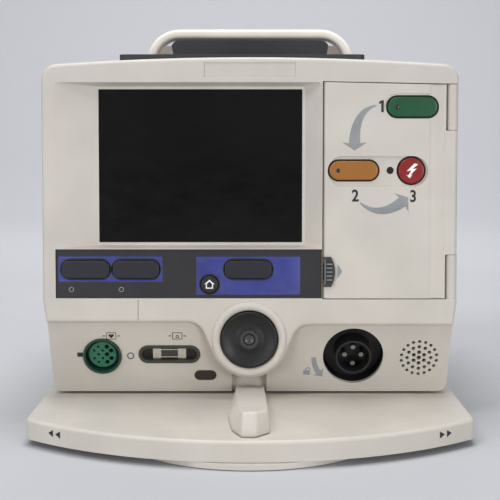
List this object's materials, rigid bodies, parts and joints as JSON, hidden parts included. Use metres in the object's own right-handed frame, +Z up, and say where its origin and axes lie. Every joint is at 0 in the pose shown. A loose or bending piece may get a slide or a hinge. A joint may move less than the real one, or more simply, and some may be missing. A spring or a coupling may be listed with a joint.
{
  "type": "defibrillator",
  "caption": "Hospital defibrillator and monitor with a screen, treatment door, connector panel, dial and printer, on a swivelling dock with a release lever.",
  "frame": {"origin": "on the resting face, on the dock's swivel axis", "axes": "+Z up, -Y towards the user (the screen faces -Y), +X to the user's right"},
  "size_m": [0.2664, 0.354, 0.2584],
  "materials": {
    "case_plastic": "fine spark-eroded grain",
    "dock_plastic": "fine spark-eroded grain",
    "charcoal_plastic": "fine texture",
    "keypad_film": "satin membrane",
    "key_cap": "satin",
    "screen_glass": "gloss",
    "display": "dark",
    "green_key": "satin",
    "amber_key": "satin",
    "red_key": "satin",
    "lamp": "clear lens",
    "socket_green": "moulded",
    "socket_black": "moulded",
    "socket_grey": "moulded",
    "contact": "plated",
    "steel": "zinc plated",
    "brass": "turned",
    "rubber": "matt",
    "aluminium": "folded sheet",
    "board": "solder mask",
    "paper": "chart paper"
  },
  "bodies": {
    "floor_base": {"base_plate": "dock_plastic", "base_feet": "rubber", "swivel_pin": "steel"},
    "dock": {"dock_shell": "dock_plastic", "dock_guides": "dock_plastic", "swivel_bearing": "brass", "latch_pin": "steel", "latch_spring": "contact"},
    "latch": {"latch_lever": "dock_plastic"},
    "door": {"door": "case_plastic"},
    "release": {"release_tab": "charcoal_plastic"},
    "start_button": {"start_key": "green_key"},
    "analyze_button": {"analyze_key": "amber_key"},
    "shock_button": {"shock_key": "red_key"},
    "print_button": {"print_key": "key_cap"},
    "summary_button": {"summary_key": "key_cap"},
    "event_button": {"event_key": "key_cap"},
    "home_button": {"home_key": "key_cap"},
    "dial_push": {"dial_shaft": "steel"},
    "dial": {"dial_knob": "charcoal_plastic"},
    "flap": {"printer_flap": "case_plastic"},
    "platen": {"platen_roller": "rubber"},
    "paper": {"paper_roll": "paper"},
    "battery": {"battery_pack": "charcoal_plastic"},
    "device": {"front_bezel": "case_plastic", "rear_case": "case_plastic", "connector_panel": "case_plastic", "handle": "case_plastic", "dial_ring": "case_plastic", "bottom_cover": "case_plastic", "top_tray": "charcoal_plastic", "battery_bay": "charcoal_plastic", "manual_panel": "charcoal_plastic", "speaker": "charcoal_plastic", "printer_frame": "charcoal_plastic", "keypad_strip": "keypad_film", "display_window": "screen_glass", "display_module": "display", "status_lamp": "lamp", "infrared_window": "lamp", "ecg_insert": "socket_green", "oximeter_socket": "socket_black", "therapy_insert": "socket_black", "mains_inlet": "socket_black", "data_port": "socket_black", "ecg_socket": "socket_grey", "therapy_socket": "socket_grey", "oximeter_contacts": "contact", "therapy_pins": "contact", "handle_bolts": "steel", "case_screws": "steel", "hinge_pin": "steel", "flap_pin": "steel", "dial_encoder": "steel", "ground_stud": "brass", "chassis_frame": "aluminium", "energy_capacitor": "aluminium", "power_supply": "aluminium", "main_board": "board", "switch_boards": "board"}
  },
  "joints": [
    {"name": "dock_swivel", "type": "hinge", "parent": "floor_base", "child": "dock", "pos_m": [0, 0, 0.01], "axis": [0, 0, 1], "range_deg": [-60, 60]},
    {"name": "latch_lift", "type": "hinge", "parent": "dock", "child": "latch", "pos_m": [0, -0.079, 0.0126], "axis": [-1, 0, 0], "range_deg": [0, 6]},
    {"name": "device_lift", "type": "slide", "parent": "dock", "child": "device", "axis": [0, 0, 1], "range_m": [0, 0.06]},
    {"name": "door_hinge", "type": "hinge", "parent": "device", "child": "door", "pos_m": [0.1273, -0.0864, 0.148], "axis": [0, 0, 1], "range_deg": [0, 120]},
    {"name": "release_slide", "type": "slide", "parent": "door", "child": "release", "axis": [1, 0, 0], "range_m": [0, 0.0025], "stiffness_N_per_m": 300, "springref_m": -0.001},
    {"name": "start_press", "type": "slide", "parent": "device", "child": "start_button", "axis": [0, 1, 0], "range_m": [0, 0.0015], "stiffness_N_per_m": 400, "springref_m": -0.0006},
    {"name": "analyze_press", "type": "slide", "parent": "device", "child": "analyze_button", "axis": [0, 1, 0], "range_m": [0, 0.0015], "stiffness_N_per_m": 400, "springref_m": -0.0006},
    {"name": "shock_press", "type": "slide", "parent": "device", "child": "shock_button", "axis": [0, 1, 0], "range_m": [0, 0.0015], "stiffness_N_per_m": 400, "springref_m": -0.0006},
    {"name": "print_press", "type": "slide", "parent": "device", "child": "print_button", "axis": [0, 1, 0], "range_m": [0, 0.0008], "stiffness_N_per_m": 400, "springref_m": -0.0006},
    {"name": "summary_press", "type": "slide", "parent": "device", "child": "summary_button", "axis": [0, 1, 0], "range_m": [0, 0.0008], "stiffness_N_per_m": 400, "springref_m": -0.0006},
    {"name": "event_press", "type": "slide", "parent": "device", "child": "event_button", "axis": [0, 1, 0], "range_m": [0, 0.0008], "stiffness_N_per_m": 400, "springref_m": -0.0006},
    {"name": "home_press", "type": "slide", "parent": "device", "child": "home_button", "axis": [0, 1, 0], "range_m": [0, 0.0008], "stiffness_N_per_m": 400, "springref_m": -0.0006},
    {"name": "dial_press", "type": "slide", "parent": "device", "child": "dial_push", "axis": [0, 1, 0], "range_m": [0, 0.001], "stiffness_N_per_m": 600, "springref_m": -0.0008},
    {"name": "dial_turn", "type": "hinge", "parent": "dial_push", "child": "dial", "pos_m": [-0.0005, -0.08, 0.0544], "axis": [0, 1, 0], "continuous": true},
    {"name": "flap_hinge", "type": "hinge", "parent": "device", "child": "flap", "pos_m": [-0.1285, 0.023, 0.1059], "axis": [0, -1, 0], "range_deg": [0, 80]},
    {"name": "platen_turn", "type": "hinge", "parent": "device", "child": "platen", "pos_m": [-0.117, 0.023, 0.176], "axis": [0, 1, 0], "continuous": true},
    {"name": "paper_turn", "type": "hinge", "parent": "device", "child": "paper", "pos_m": [-0.101, 0.023, 0.14], "axis": [0, 1, 0], "continuous": true},
    {"name": "battery_slide", "type": "slide", "parent": "device", "child": "battery", "axis": [0, 1, 0], "range_m": [0, 0.07]}
  ]
}
